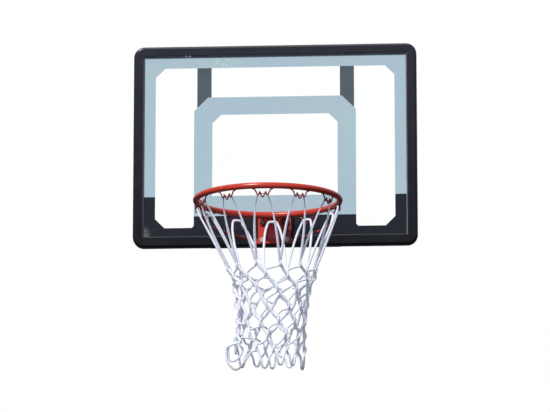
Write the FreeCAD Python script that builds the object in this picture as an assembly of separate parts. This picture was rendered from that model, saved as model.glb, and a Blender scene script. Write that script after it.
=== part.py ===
import FreeCAD, Part
import math
import os

from FreeCAD import Vector

# A backboard for a ball game: a clear panel with printed areas in a two-shell moulded frame,
# two rear uprights with a cross channel, and a steel ring on a bolted bracket that carries a net.
# Millimetres. +Z is up, the board faces -Y, and the origin is the centre of the four mounting
# holes, on the plane of the uprights' rear faces.

# Overrun of every cutting tool
overrun = 5.0

# Board and frame
board_width = 813.0
board_height = 588.0
frame_face = 31.0
frame_corner_radius = 31.0
front_shell_depth = 20.0
rear_shell_depth = 12.0
frame_wall = 3.5
frame_outer_round = 8.0
frame_rear_round = 3.0
lip_width = 8.0
lip_slope_width = 4.5
lip_slope_depth = 6.0

# Clear panel, its seal and its printed films
panel_recess = 9.0
panel_thick = 3.5
panel_edge_gap = 0.25
gasket_thick = 1.0
film_thick = 0.3
film_edge_gap = 0.2
clear_side_margin = 63.5
clear_top_margin = 64.0
clear_bottom_margin = 56.0
clear_chamfer = 27.0
dark_side_height = 147.0
target_outer_width = 464.0
target_leg = 52.5
target_top_drop = 150.8
target_top_bar = 51.7
target_opening_height = 148.0
target_base_height = 89.5
target_outer_chamfer = 40.0
target_inner_chamfer = 25.0
base_flare = 6.0

# Frame screws
frame_screw_radius = 2.0
frame_screw_clearance = 0.1
frame_screw_head_radius = 4.0
frame_screw_head_height = 2.6
frame_screw_recess_gap = 0.5
frame_screw_tip_gap = 4.0
frame_boss_radius = 6.5
frame_screw_slot = 1.0
top_screw_shares = (-0.44, -0.14, 0.14, 0.44)
side_screw_shares = (-0.27, 0.0, 0.27)

# Uprights behind the board
upright_width = 40.0
upright_depth = 20.0
upright_wall = 2.0
upright_spacing = 411.0
upright_end_inset = 6.0
cap_flange = 2.5
cap_plug_length = 4.0
cap_plug_gap = 0.2
upright_screw_radius = 2.5
upright_screw_clearance = 0.15
upright_screw_head_radius = 4.5
upright_screw_head_height = 3.0
upright_screw_inset = 18.0
upright_access_radius = 6.0

# Mounting holes and the nuts welded behind them
mount_hole_radius = 4.25
mount_spacing_z = 300.0
mount_nut_width = 13.0
mount_nut_height = 6.5

# Cross channel behind the ring bracket
channel_height = 80.0
channel_bottom = 3.0
channel_wall = 3.0
channel_depth = 17.0

# Ring
rim_inside = 381.0
rim_tube = 17.0
rim_reach = 73.0
rim_height = 72.0

# Ring bracket
bracket_plate_thick = 4.0
bracket_half_width = 47.0
bracket_bottom = 5.0
bracket_top = 80.0
bracket_corner = 4.0
bracket_ear_half_width = 57.0
bracket_ear_top = 18.0
neck_half_width = 24.0
neck_front_half_width = 47.0
neck_plate_thick = 4.0
neck_plate_drop = 6.0
gusset_thick = 4.0
gusset_bottom = 14.0
gusset_nose = 8.0
gusset_ring_gap = 4.0

# Spacer between panel and bracket plate
spacer_half_width = 52.0
spacer_top = 83.0
spacer_seat_gap = 0.3

# Ring bolts
rim_bolt_radius = 4.0
rim_bolt_hole_radius = 4.5
rim_bolt_spacing_x = 69.0
rim_bolt_low = 15.5
rim_bolt_spacing_z = 49.5
rim_bolt_head_flats = 13.0
rim_bolt_head_height = 5.3
rim_washer_radius = 8.0
rim_washer_thick = 1.6
rim_nut_height = 8.0
rim_bolt_tail = 2.5
sleeve_radius = 6.5

# Brace rods under the ring: how far round from the rear, how far out and how far down
brace_radius = 3.0
brace_ear_x = 51.0
brace_ear_height = 11.0
brace_turn_share = (0.222, 0.344, 0.422)
brace_out_share = (1.115, 1.04, 1.0)
brace_drop_share = (0.83, 0.72, 0.06)

# Net hooks
hook_count = 12
hook_wire_radius = 2.0
hook_half_span = 23.0
hook_seat_half_span = 14.0
hook_seat_drop = 16.5
hook_prong_half_span = 9.0
hook_prong_drop = 8.0
hook_middle_drop = 22.0
hook_root_depth = 3.0

# Net
net_length = 484.0
net_cord = 6.0
net_thick = 5.0
net_hook_gap = 0.3
net_top_rise = 6.0
net_loop_half_width = 14.0
net_reach = 60.0
net_split_gap = 0.6
net_split_drop = 5.0
net_row_share = (0.420, 0.470, 0.544, 0.637, 0.728, 0.808, 0.884)
net_radius_share = (0.620, 0.588, 0.551, 0.520, 0.505, 0.495, 0.490)
net_tail_radius_share = 0.520
net_tail_level_share = 0.975
net_tail_width_share = 0.55
net_upper_rows = 3

# Places worked out from the sizes above
frame_rear_y = -upright_depth
parting_y = frame_rear_y - rear_shell_depth
front_y = parting_y - front_shell_depth
panel_front_y = front_y + panel_recess
panel_rear_y = panel_front_y + panel_thick
film_front_y = panel_front_y - film_thick
lip_rear_y = panel_front_y - gasket_thick
front_wall_y = front_y + frame_wall
rear_wall_y = frame_rear_y - frame_wall
window_width = board_width - 2 * frame_face
window_height = board_height - 2 * frame_face
lip_outer_width = window_width + 2 * lip_width
lip_outer_height = window_height + 2 * lip_width
board_bottom = -board_height / 2
board_top = board_height / 2
boss_inset = (frame_wall + frame_face - lip_width) / 2
frame_screw_hole_radius = frame_screw_radius + frame_screw_clearance
upright_screw_hole_radius = upright_screw_radius + upright_screw_clearance
upright_x = upright_spacing / 2
rim_radius = (rim_inside + rim_tube) / 2
rim_tube_radius = rim_tube / 2
bracket_front_y = front_y - bracket_plate_thick
rim_y = front_y - rim_reach - rim_tube_radius - rim_radius
rim_z = board_bottom + rim_height
web_rear_y = frame_rear_y + channel_wall
rim_bolt_x = rim_bolt_spacing_x / 2
rim_bolt_low_z = board_bottom + rim_bolt_low
rim_bolt_high_z = rim_bolt_low_z + rim_bolt_spacing_z
neck_top_z = rim_z - rim_tube_radius + neck_plate_drop
neck_bottom_z = neck_top_z - neck_plate_thick
hook_seat_z = -rim_tube_radius - hook_seat_drop
pivot = Vector(0, rim_y, rim_z + hook_seat_z)

rim_bolt_places = [(side * rim_bolt_x, z) for side in (-1, 1) for z in (rim_bolt_low_z, rim_bolt_high_z)]
low_bolt_places = [place for place in rim_bolt_places if place[1] == rim_bolt_low_z]
high_bolt_places = [place for place in rim_bolt_places if place[1] == rim_bolt_high_z]


def height(above_bottom):
    """Level of a point given by its height above the board's bottom edge."""
    return board_bottom + above_bottom


def box(x_low, x_high, y_low, y_high, z_low, z_high):
    corner = Vector(x_low, y_low, z_low)
    return Part.makeBox(x_high - x_low, y_high - y_low, z_high - z_low, corner)


def slab(points, y_low, y_high):
    """Outline of (x, z) points, extruded along Y."""
    corners = [Vector(x, y_low, z) for x, z in points]
    outline = Part.makePolygon(corners + corners[:1])
    return Part.Face(outline).extrude(Vector(0, y_high - y_low, 0))


def edges_along_y(body):
    return [edge for edge in body.Edges if abs(edge.tangentAt(edge.FirstParameter).y) == 1]


def rounded_slab(width, tall, radius, y_low, y_high):
    """Rounded rectangle centred on the Y axis, extruded along Y."""
    block = box(-width / 2, width / 2, y_low, y_high, -tall / 2, tall / 2)
    if radius == 0:
        return block
    return block.makeFillet(radius, edges_along_y(block))


def rod(x, z, radius, y_low, y_high):
    """Round bar along Y."""
    return Part.makeCylinder(radius, y_high - y_low, Vector(x, y_low, z), Vector(0, 1, 0))


def drill(body, places, radius):
    """Round holes along Y, right through the board."""
    tools = [rod(x, z, radius, bracket_front_y - overrun, overrun) for x, z in places]
    return body.cut(tools)


def hexagon(x, z, flats, y_low, y_high):
    corner_radius = flats / math.sqrt(3)
    turns = [math.radians(60 * step) for step in range(6)]
    points = [(x + corner_radius * math.cos(turn), z + corner_radius * math.sin(turn)) for turn in turns]
    return slab(points, y_low, y_high)


def rod_chain(points, radius):
    """Bent wire: straight bars joined by balls."""
    pieces = []
    for start, end in zip(points, points[1:]):
        pieces.append(Part.makeCylinder(radius, (end - start).Length, start, end - start))
    for joint in points[1:-1]:
        pieces.append(Part.makeSphere(radius, joint))
    return pieces[0].fuse(pieces[1:]).removeSplitter()


def outline_edges(shell, y):
    """Edges of a frame shell's outline, on its face at y."""
    found = []
    half_width = (board_width - frame_face) / 2
    half_height = (board_height - frame_face) / 2
    for edge in shell.Edges:
        points = edge.discretize(5)
        on_face = all(abs(point.y - y) < frame_wall / 100 for point in points)
        outside = any(abs(point.x) > half_width or abs(point.z) > half_height for point in points)
        if on_face and outside:
            found.append(edge)
    return found


def around_rim(angle):
    """Direction outward from the ring's axis: zero points away from the board, turning to +X."""
    turn = math.radians(angle)
    return Vector(math.sin(turn), -math.cos(turn), 0)


def turned(piece, angle):
    copy = piece.copy()
    copy.rotate(Vector(0, rim_y, rim_z), Vector(0, 0, 1), angle)
    return copy


def save(node, *pieces):
    shape = pieces[0] if len(pieces) == 1 else Part.makeCompound(pieces)
    valid = all(solid.isValid() for solid in shape.Solids)
    print(f"{node}: {len(shape.Solids)} solids, {shape.Volume:.0f} mm3, valid {valid}")
    shape.exportStep(f"parts/{node}.step")


def frame_ring(outer_inset, y_low, y_high, inner_width, inner_height):
    """Band between the frame's outline, moved in by outer_inset, and a plain rectangle."""
    outer = rounded_slab(board_width - 2 * outer_inset, board_height - 2 * outer_inset,
                         frame_corner_radius - outer_inset, y_low, y_high)
    return outer.cut(rounded_slab(inner_width, inner_height, 0, y_low - overrun, y_high + overrun))


def lip_band(y_low, y_high):
    """Band round the window, as wide as the lip."""
    outer = rounded_slab(lip_outer_width, lip_outer_height, 0, y_low, y_high)
    return outer.cut(rounded_slab(window_width, window_height, 0, y_low - overrun, y_high + overrun))


def lip_slope():
    """Tapered opening in front of the window: the lip falls away to a thin edge on the panel."""
    spread = lip_slope_width * (1 + overrun / lip_slope_depth)
    half_width = window_width / 2
    half_height = window_height / 2
    return Part.makeWedge(-half_width - spread, front_y - overrun, -half_height - spread,
                          -half_height, -half_width,
                          half_width + spread, front_y + lip_slope_depth, half_height + spread,
                          half_height, half_width)


def cavity(y_low, y_high):
    """Hollow between the frame's outer wall and its lip."""
    return frame_ring(frame_wall, y_low, y_high, lip_outer_width, lip_outer_height)


def frame_screw_places():
    places = []
    for share in top_screw_shares:
        for side in (-1, 1):
            places.append((share * board_width, side * (board_top - boss_inset)))
    for share in side_screw_shares:
        for side in (-1, 1):
            places.append((side * (board_width / 2 - boss_inset), share * board_height))
    return places


def upright_screw_places():
    level = board_top - upright_screw_inset
    return [(side * upright_x, end * level) for side in (-1, 1) for end in (-1, 1)]


def make_front_frame():
    shell = frame_ring(0, front_y, parting_y, window_width, window_height)
    shell = shell.makeFillet(frame_outer_round, outline_edges(shell, front_y))
    shell = shell.cut(lip_slope())
    shell = shell.cut(cavity(front_wall_y, parting_y + overrun))
    shell = shell.cut(lip_band(lip_rear_y, parting_y + overrun))
    bosses = [rod(x, z, frame_boss_radius, front_wall_y, parting_y) for x, z in frame_screw_places()]
    shell = shell.fuse(bosses)
    holes = [rod(x, z, frame_screw_hole_radius, front_wall_y, parting_y + overrun)
             for x, z in frame_screw_places()]
    shell = shell.cut(holes)
    save("front_frame", drill(shell, low_bolt_places, rim_bolt_hole_radius).removeSplitter())


def make_rear_frame():
    shell = frame_ring(0, parting_y, frame_rear_y, window_width, window_height)
    shell = shell.makeFillet(frame_rear_round, outline_edges(shell, frame_rear_y))
    shell = shell.cut(cavity(parting_y - overrun, rear_wall_y))
    shell = shell.fuse(lip_band(panel_rear_y, rear_wall_y))
    places = frame_screw_places()
    boss_places = places + upright_screw_places()
    shell = shell.fuse([rod(x, z, frame_boss_radius, parting_y, rear_wall_y) for x, z in boss_places])
    head_seat_y = frame_rear_y - frame_screw_head_height - frame_screw_recess_gap
    head_recess_radius = frame_screw_head_radius + frame_screw_recess_gap
    shell = drill(shell, places, frame_screw_hole_radius)
    shell = shell.cut([rod(x, z, head_recess_radius, head_seat_y, overrun) for x, z in places])
    shell = drill(shell, upright_screw_places(), upright_screw_hole_radius)
    save("rear_frame", drill(shell, low_bolt_places, rim_bolt_hole_radius).removeSplitter())


def pan_screw(x, z, radius, head_radius, head_height, seat_y, tip_y):
    """Screw driven from behind: pan head with a cross slot behind seat_y, shank forward to tip_y."""
    head = rod(x, z, head_radius, seat_y, seat_y + head_height)
    crown = max(head.Edges, key=lambda edge: edge.CenterOfMass.y)
    head = head.makeFillet(head_height / 2, [crown])
    slot = frame_screw_slot / 2
    slot_floor_y = seat_y + head_height / 2
    half = head_radius / 2
    cross = box(x - half, x + half, slot_floor_y, overrun, z - slot, z + slot)
    cross = cross.fuse(box(x - slot, x + slot, slot_floor_y, overrun, z - half, z + half))
    return head.cut(cross).fuse(rod(x, z, radius, tip_y, seat_y)).removeSplitter()


def make_frame_screws():
    seat_y = frame_rear_y - frame_screw_head_height - frame_screw_recess_gap
    tip_y = front_wall_y + frame_screw_tip_gap
    save("frame_screws", *[pan_screw(x, z, frame_screw_radius, frame_screw_head_radius,
                                     frame_screw_head_height, seat_y, tip_y)
                           for x, z in frame_screw_places()])


def make_panel():
    inset = 2 * (lip_width - panel_edge_gap)
    sheet = rounded_slab(window_width + inset, window_height + inset, 0, panel_front_y, panel_rear_y)
    save("clear_panel", drill(sheet, high_bolt_places, rim_bolt_hole_radius))
    save("panel_gasket", lip_band(lip_rear_y, panel_front_y))


def clear_outline():
    """Chamfered rectangle that the printed border leaves clear."""
    x = board_width / 2 - clear_side_margin
    top = board_top - clear_top_margin
    bottom = height(clear_bottom_margin)
    cut = clear_chamfer
    return [(-x, bottom + cut), (-x, top - cut), (-x + cut, top), (x - cut, top),
            (x, top - cut), (x, bottom + cut), (x - cut, bottom), (-x + cut, bottom)]


def film(points):
    return slab(points, film_front_y, panel_front_y)


def make_films():
    side = window_width / 2 - film_edge_gap
    top = window_height / 2 - film_edge_gap
    split = height(dark_side_height)
    clear = slab(clear_outline(), film_front_y - overrun, overrun)
    border = film([(-side, split), (-side, top), (side, top), (side, split)]).cut(clear)
    save("border_film", border)

    outer = target_outer_width / 2
    inner = outer - target_leg
    outer_top = board_top - target_top_drop
    inner_top = outer_top - target_top_bar
    base = height(target_base_height)
    sill = height(target_opening_height)
    outer_cut = target_outer_chamfer
    inner_cut = target_inner_chamfer
    target = film([(-outer, base), (-outer, outer_top - outer_cut), (-outer + outer_cut, outer_top),
                   (outer - outer_cut, outer_top), (outer, outer_top - outer_cut), (outer, base)])
    opening = [(-inner, sill), (-inner, inner_top - inner_cut), (-inner + inner_cut, inner_top),
               (inner - inner_cut, inner_top), (inner, inner_top - inner_cut), (inner, sill)]
    save("target_film", target.cut(slab(opening, film_front_y - overrun, overrun)))

    dark = film([(-side, -top), (-side, split), (side, split), (side, -top)]).cut(clear)
    floor = height(clear_bottom_margin)
    middle = film([(-outer - base_flare, floor), (-outer, floor + base_flare), (-outer, base),
                   (outer, base), (outer, floor + base_flare), (outer + base_flare, floor)])
    dark = dark.fuse(middle).removeSplitter()
    save("base_film", drill(dark, high_bolt_places, rim_bolt_hole_radius))


def make_upright(node, side):
    x = side * upright_x
    end = board_top - upright_end_inset - cap_flange
    half = upright_width / 2
    tube = box(x - half, x + half, -upright_depth, 0, -end, end)
    bore_half = half - upright_wall
    bore = box(x - bore_half, x + bore_half, upright_wall - upright_depth, -upright_wall,
               -end - overrun, end + overrun)
    tube = tube.cut(bore)
    places = [place for place in upright_screw_places() if place[0] == x]
    tools = [rod(px, pz, upright_screw_hole_radius, frame_rear_y - overrun, -upright_wall)
             for px, pz in places]
    tools += [rod(px, pz, upright_access_radius, -upright_depth / 2, overrun) for px, pz in places]
    tools += [rod(x, pz, mount_hole_radius, -upright_depth / 2, overrun)
              for pz in (-mount_spacing_z / 2, mount_spacing_z / 2)]
    save(node, tube.cut(tools))


def make_upright_fittings():
    caps = []
    nuts = []
    half = upright_width / 2
    inner_half = half - upright_wall - cap_plug_gap
    plug_front = upright_wall + cap_plug_gap - upright_depth
    plug_rear = -upright_wall - cap_plug_gap
    tube_end = board_top - upright_end_inset - cap_flange
    for side in (-1, 1):
        x = side * upright_x
        for end in (-1, 1):
            levels = sorted((end * tube_end, end * (tube_end + cap_flange)))
            flange = box(x - half, x + half, -upright_depth, 0, *levels)
            levels = sorted((end * tube_end, end * (tube_end - cap_plug_length)))
            plug = box(x - inner_half, x + inner_half, plug_front, plug_rear, *levels)
            caps.append(flange.fuse(plug).removeSplitter())
            z = end * mount_spacing_z / 2
            nut = box(x - mount_nut_width / 2, x + mount_nut_width / 2, -upright_wall - mount_nut_height,
                      -upright_wall, z - mount_nut_width / 2, z + mount_nut_width / 2)
            nuts.append(nut.cut(rod(x, z, mount_hole_radius, -upright_depth, 0)))
    save("upright_caps", *caps)
    save("mount_nuts", *nuts)
    seat_y = upright_wall - upright_depth
    save("upright_screws", *[pan_screw(x, z, upright_screw_radius, upright_screw_head_radius,
                                       upright_screw_head_height, seat_y, parting_y)
                             for x, z in upright_screw_places()])


def make_cross_channel():
    half = upright_x - upright_width / 2
    low = height(channel_bottom)
    high = low + channel_height
    rear = frame_rear_y + channel_depth
    channel = box(-half, half, frame_rear_y, rear, low, high)
    channel = channel.cut(box(-half - overrun, half + overrun, web_rear_y, rear + overrun,
                              low + channel_wall, high - channel_wall))
    save("cross_channel", drill(channel, rim_bolt_places, rim_bolt_hole_radius))


def make_ring():
    ring = Part.makeTorus(rim_radius, rim_tube_radius, Vector(0, rim_y, rim_z), Vector(0, 0, 1))
    save("rim_ring", ring)
    return ring


def make_bracket(ring):
    low = height(bracket_bottom)
    ear_top = height(bracket_ear_top)
    top = height(bracket_top)
    half = bracket_half_width
    ear = bracket_ear_half_width
    plate = slab([(-ear, low), (ear, low), (ear, ear_top), (half, ear_top), (half, top), (-half, top),
                  (-half, ear_top), (-ear, ear_top)], bracket_front_y, front_y)
    plate = plate.makeFillet(bracket_corner, edges_along_y(plate))
    save("rim_back_plate", drill(plate, rim_bolt_places, rim_bolt_hole_radius))

    ring_rear_y = rim_y + rim_radius
    neck = Part.makePolygon([Vector(x, y, neck_bottom_z) for x, y in (
        (-neck_half_width, bracket_front_y), (neck_half_width, bracket_front_y),
        (neck_front_half_width, ring_rear_y), (-neck_front_half_width, ring_rear_y),
        (-neck_half_width, bracket_front_y))])
    neck = Part.Face(neck).extrude(Vector(0, 0, neck_plate_thick)).cut(ring)
    save("rim_top_plate", max(neck.Solids, key=lambda solid: solid.Volume))

    nose_y = ring_rear_y + rim_tube_radius + gusset_ring_gap
    for node, side in (("left_gusset", -1), ("right_gusset", 1)):
        x = side * (neck_half_width - gusset_thick / 2) - gusset_thick / 2
        outline = [Vector(x, y, z) for y, z in (
            (bracket_front_y, height(gusset_bottom)), (bracket_front_y, neck_bottom_z),
            (nose_y, neck_bottom_z), (nose_y, neck_bottom_z - gusset_nose))]
        face = Part.Face(Part.makePolygon(outline + outline[:1]))
        save(node, face.extrude(Vector(gusset_thick, 0, 0)))

    spacer = box(-spacer_half_width, spacer_half_width, front_y, film_front_y,
                 -window_height / 2 + spacer_seat_gap, height(spacer_top))
    save("rim_spacer", drill(spacer, high_bolt_places, rim_bolt_hole_radius))
    return plate


def make_braces(ring, plate):
    ear_drop = rim_height - brace_ear_height
    start = Vector(brace_ear_x, front_y - bracket_plate_thick / 2, height(brace_ear_height))
    points = [start]
    for turn, out, drop in zip(brace_turn_share, brace_out_share, brace_drop_share):
        outward = around_rim(180 - 180 * turn) * (rim_radius * out)
        points.append(Vector(outward.x, rim_y + outward.y, rim_z - ear_drop * drop))
    bent = rod_chain(points, brace_radius).cut([ring, plate])
    right = max(bent.Solids, key=lambda solid: solid.Volume)
    save("right_brace", right)
    save("left_brace", right.mirror(Vector(0, 0, 0), Vector(1, 0, 0)))


def make_hooks(ring):
    """Wire hooks welded under the ring: a W whose two outer notches hold the net's loop."""
    root = -rim_tube_radius + hook_root_depth
    prong_z = -rim_tube_radius - hook_prong_drop
    middle_z = -rim_tube_radius - hook_middle_drop
    outline = [(-hook_half_span, root), (-hook_seat_half_span, hook_seat_z),
               (-hook_prong_half_span, prong_z), (0, middle_z)]
    outline += [(-x, z) for x, z in reversed(outline[:-1])]
    front = rim_y - rim_radius
    points = [Vector(x, front, rim_z + z) for x, z in outline]
    hook = max(rod_chain(points, hook_wire_radius).cut(ring).Solids, key=lambda solid: solid.Volume)
    save("net_hooks", *[turned(hook, 360 * step / hook_count) for step in range(hook_count)])


def make_fasteners():
    head_y = bracket_front_y - rim_washer_thick
    nut_y = web_rear_y + rim_washer_thick
    bolts = []
    front_washers = []
    rear_washers = []
    nuts = []
    for x, z in rim_bolt_places:
        head = hexagon(x, z, rim_bolt_head_flats, head_y - rim_bolt_head_height, head_y)
        shank = rod(x, z, rim_bolt_radius, head_y, nut_y + rim_nut_height + rim_bolt_tail)
        bolts.append(head.fuse(shank).removeSplitter())
        washer = rod(x, z, rim_washer_radius, head_y, bracket_front_y)
        front_washers.append(drill(washer, [(x, z)], rim_bolt_hole_radius))
        washer = rod(x, z, rim_washer_radius, web_rear_y, nut_y)
        rear_washers.append(drill(washer, [(x, z)], rim_bolt_hole_radius))
        nut = hexagon(x, z, rim_bolt_head_flats, nut_y, nut_y + rim_nut_height)
        nuts.append(drill(nut, [(x, z)], rim_bolt_radius))
    save("rim_bolts", *bolts)
    save("rim_front_washers", *front_washers)
    save("rim_rear_washers", *rear_washers)
    save("rim_nuts", *nuts)
    sleeves = [rod(x, z, sleeve_radius, front_wall_y, rear_wall_y) for x, z in low_bolt_places]
    sleeves += [rod(x, z, sleeve_radius, panel_rear_y, frame_rear_y) for x, z in high_bolt_places]
    save("bolt_sleeves", *[drill(sleeve, rim_bolt_places, rim_bolt_hole_radius) for sleeve in sleeves])


def inset(points, distance):
    """Convex outline, listed clockwise in (u, level), moved in by a distance."""
    lines = []
    for (u1, v1), (u2, v2) in zip(points, points[1:] + points[:1]):
        length = math.hypot(u2 - u1, v2 - v1)
        normal = ((v2 - v1) / length, (u1 - u2) / length)
        lines.append((normal, normal[0] * u1 + normal[1] * v1 + distance))
    corners = []
    for (n1, d1), (n2, d2) in zip(lines[-1:] + lines[:-1], lines):
        cross = n1[0] * n2[1] - n1[1] * n2[0]
        corners.append(((d1 * n2[1] - d2 * n1[1]) / cross, (n1[0] * d2 - n2[0] * d1) / cross))
    return corners


def net_gap(points, angle):
    """One mesh opening: an outline of strand centre lines, cut through the net outward from its axis."""
    near = around_rim(angle) * (net_reach / 2)
    along = around_rim(angle + 90)
    corners = [Vector(0, rim_y, rim_z) + near + along * u + Vector(0, 0, v)
               for u, v in inset(points, net_cord / 2)]
    face = Part.Face(Part.makePolygon(corners + corners[:1]))
    return face.extrude(around_rim(angle) * (rim_radius + net_reach))


def net_gaps(step):
    """The openings that one hook's sector of the net holds."""
    even = 360 * step / hook_count
    half_pitch = 180 / hook_count
    odd = even + half_pitch
    sine = math.sin(math.radians(half_pitch))
    rows = [-net_length * share for share in net_row_share]
    wide = [rim_inside / 2 * share * sine for share in net_radius_share]
    top = hook_seat_z + net_top_rise
    loop = net_loop_half_width
    between = rim_radius * sine - loop
    hook_loop = [(-loop, top), (loop, top), (wide[0], rows[0]), (0, rows[1]), (-wide[0], rows[0])]
    hook_gap = [(-between, top + net_reach), (between, top + net_reach), (between, top),
                (0, rows[0]), (-between, top)]
    gaps = [net_gap(hook_loop, even), net_gap(hook_gap, odd)]
    for row in range(len(rows) - 2):
        diamond = [(0, rows[row]), (wide[row + 1], rows[row + 1]), (0, rows[row + 2]),
                   (-wide[row + 1], rows[row + 1])]
        gaps.append(net_gap(diamond, odd if row % 2 == 0 else even))
    tail = -net_length * net_tail_level_share
    full = wide[-1]
    loop_half = full * net_tail_width_share
    notch_half = full - loop_half
    over_loop, over_notch = (odd, even) if len(rows) % 2 == 0 else (even, odd)
    gaps.append(net_gap([(0, rows[-2]), (full, rows[-1]), (loop_half, tail), (-loop_half, tail),
                         (-full, rows[-1])], over_loop))
    gaps.append(net_gap([(0, rows[-1]), (notch_half, tail), (notch_half, tail - net_reach),
                         (-notch_half, tail - net_reach), (-notch_half, tail)], over_notch))
    return gaps


def make_net():
    top_radius = rim_radius - hook_wire_radius - net_hook_gap
    top = hook_seat_z + net_top_rise
    outline = [(top_radius, top + net_cord / 2), (top_radius, hook_seat_z)]
    outline += [(rim_inside / 2 * radius, -net_length * level)
                for radius, level in zip(net_radius_share, net_row_share)]
    outline.append((rim_inside / 2 * net_tail_radius_share, -net_length))
    outline += [(radius - net_thick, level) for radius, level in reversed(outline)]
    points = [Vector(radius, rim_y, rim_z + level) for radius, level in outline]
    profile = Part.Face(Part.makePolygon(points + points[:1]))
    skin = profile.revolve(Vector(0, rim_y, rim_z), Vector(0, 0, 1), 360)
    gaps = [gap for step in range(hook_count) for gap in net_gaps(step)]
    net = skin.cut(gaps)

    def reach(row):
        level = -net_length * net_row_share[row] - net_split_drop
        return math.hypot(rim_inside / 2 * net_radius_share[row], level - hook_seat_z)

    loops_ball = Part.makeSphere(reach(0), pivot)
    loops_room = Part.makeSphere(reach(0) + net_split_gap, pivot)
    upper_ball = Part.makeSphere(reach(net_upper_rows - 1), pivot)
    upper_room = Part.makeSphere(reach(net_upper_rows - 1) + net_split_gap, pivot)
    save("net_top_loops", *net.common(loops_ball).Solids)
    save("net_upper_mesh", *net.common(upper_ball).cut(loops_room).Solids)
    save("net_lower_mesh", *net.cut(upper_room).Solids)


os.makedirs("parts", exist_ok=True)
make_front_frame()
make_rear_frame()
make_frame_screws()
make_panel()
make_films()
make_upright("left_upright", -1)
make_upright("right_upright", 1)
make_upright_fittings()
make_cross_channel()
ring_shape = make_ring()
plate_shape = make_bracket(ring_shape)
make_braces(ring_shape, plate_shape)
make_hooks(ring_shape)
make_fasteners()
make_net()
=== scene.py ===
# %% [markdown]
# # Dressing a wall backboard, its ring and its net
# The rigid pieces arrive at their real size from the construction model: a moulded frame, a clear panel
# with printed films, steel uprights, and a ring on a bolted bracket. Here each one gets its finish, and
# the pieces that were bent, welded or knotted by hand, such as the wire hooks and the net, are modelled
# as what they are. Everything is in metres, +Z is up, and the board faces -Y.

# %% Load the construction
import math
import random

import bpy
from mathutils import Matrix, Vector


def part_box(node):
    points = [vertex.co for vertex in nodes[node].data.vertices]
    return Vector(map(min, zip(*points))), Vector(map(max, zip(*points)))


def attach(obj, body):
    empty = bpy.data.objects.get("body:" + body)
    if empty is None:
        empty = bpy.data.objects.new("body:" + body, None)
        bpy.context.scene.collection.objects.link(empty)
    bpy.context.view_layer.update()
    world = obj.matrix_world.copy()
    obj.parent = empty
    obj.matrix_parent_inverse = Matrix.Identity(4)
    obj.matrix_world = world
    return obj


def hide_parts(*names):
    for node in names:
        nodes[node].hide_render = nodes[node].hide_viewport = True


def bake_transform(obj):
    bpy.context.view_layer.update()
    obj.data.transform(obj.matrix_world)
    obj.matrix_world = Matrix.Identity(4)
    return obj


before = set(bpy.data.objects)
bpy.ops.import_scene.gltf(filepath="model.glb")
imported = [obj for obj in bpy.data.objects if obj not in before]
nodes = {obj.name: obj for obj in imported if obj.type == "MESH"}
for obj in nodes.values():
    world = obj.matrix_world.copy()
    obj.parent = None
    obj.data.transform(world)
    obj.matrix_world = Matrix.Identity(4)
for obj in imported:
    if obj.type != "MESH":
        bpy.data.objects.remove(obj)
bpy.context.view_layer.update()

# %% [markdown]
# ## The ring's place
# The ring, the hooks and the net all stand round one upright axis. The ring is a plain torus in the
# construction, so its box gives its centre, its tube and its radius, and nothing has to be typed twice.

# %% Read the ring's sizes
ring_low, ring_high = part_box("rim_ring")
ring_centre = (ring_low + ring_high) / 2
tube_radius = (ring_high.z - ring_low.z) / 2
ring_radius = (ring_high.x - ring_low.x) / 2 - tube_radius
board_face_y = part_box("front_frame")[0].y


def round_ring(degrees, radius, level=0.0):
    """A point round the ring's axis: 0 degrees is the side away from the board, and 90 is +X."""
    turn = math.radians(degrees)
    return ring_centre + Vector((radius * math.sin(turn), -radius * math.cos(turn), level))


print("ring radius", round(ring_radius, 4), "tube radius", round(tube_radius, 4), "centre", ring_centre[:])

# %% [markdown]
# ## Camera
# The board was seen from the front, a little to the right and well below it, through a long lens, which
# keeps the frame almost square to the picture. A long lens far away gives that look, while a near wide
# one would spread the frame's sides.

# %% Place the camera
image_wide = 550
sensor_wide = 36.0
focal_pixels = 3600
view_turn = math.radians(3.887)
view_rise = math.radians(-11.79)
view_distance = 10.248
view_reach = 200
view_aim = Vector((0.0009, board_face_y, -0.1795))


def heading_to(turn, rise):
    """A direction from the board: turn is to its right, and rise is upward."""
    return Vector((math.sin(turn) * math.cos(rise), -math.cos(turn) * math.cos(rise), math.sin(rise)))


to_camera = heading_to(view_turn, view_rise)
camera = bpy.data.objects.new("camera", bpy.data.cameras.new("camera"))
camera.data.lens = focal_pixels / image_wide * sensor_wide
camera.data.sensor_width = sensor_wide
camera.data.clip_end = view_reach
camera.location = view_aim + to_camera * view_distance
camera.rotation_euler = to_camera.to_track_quat("Z", "Y").to_euler()
bpy.context.collection.objects.link(camera)
bpy.context.scene.camera = camera
print("lens", round(camera.data.lens, 1), "mm, camera at", [round(x, 3) for x in camera.location])

# %% [markdown]
# ## Placing shader nodes
# Every finish below is a small graph of shader nodes. One helper adds a node, sets its options and
# fills its inputs, and a few more name the nodes that come back often, so that a finish reads as a list
# of what it is made of.


# %% Add one shader node
def put(tree, kind, inputs=None, **options):
    """Add one node, set its options, and set or link its inputs."""
    node = tree.nodes.new(kind)
    for name, value in options.items():
        setattr(node, name, value)
    for name, value in (inputs or {}).items():
        if isinstance(value, bpy.types.NodeSocket):
            tree.links.new(value, node.inputs[name])
        else:
            node.inputs[name].default_value = value
    return node


# %% Helpers for masks and colours
def math_of(tree, operation, first, second=0.0, clamp=False):
    node = put(tree, "ShaderNodeMath", {0: first, 1: second}, operation=operation, use_clamp=clamp)
    return node.outputs[0]


def times(tree, first, second, clamp=False):
    return math_of(tree, "MULTIPLY", first, second, clamp)


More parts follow.
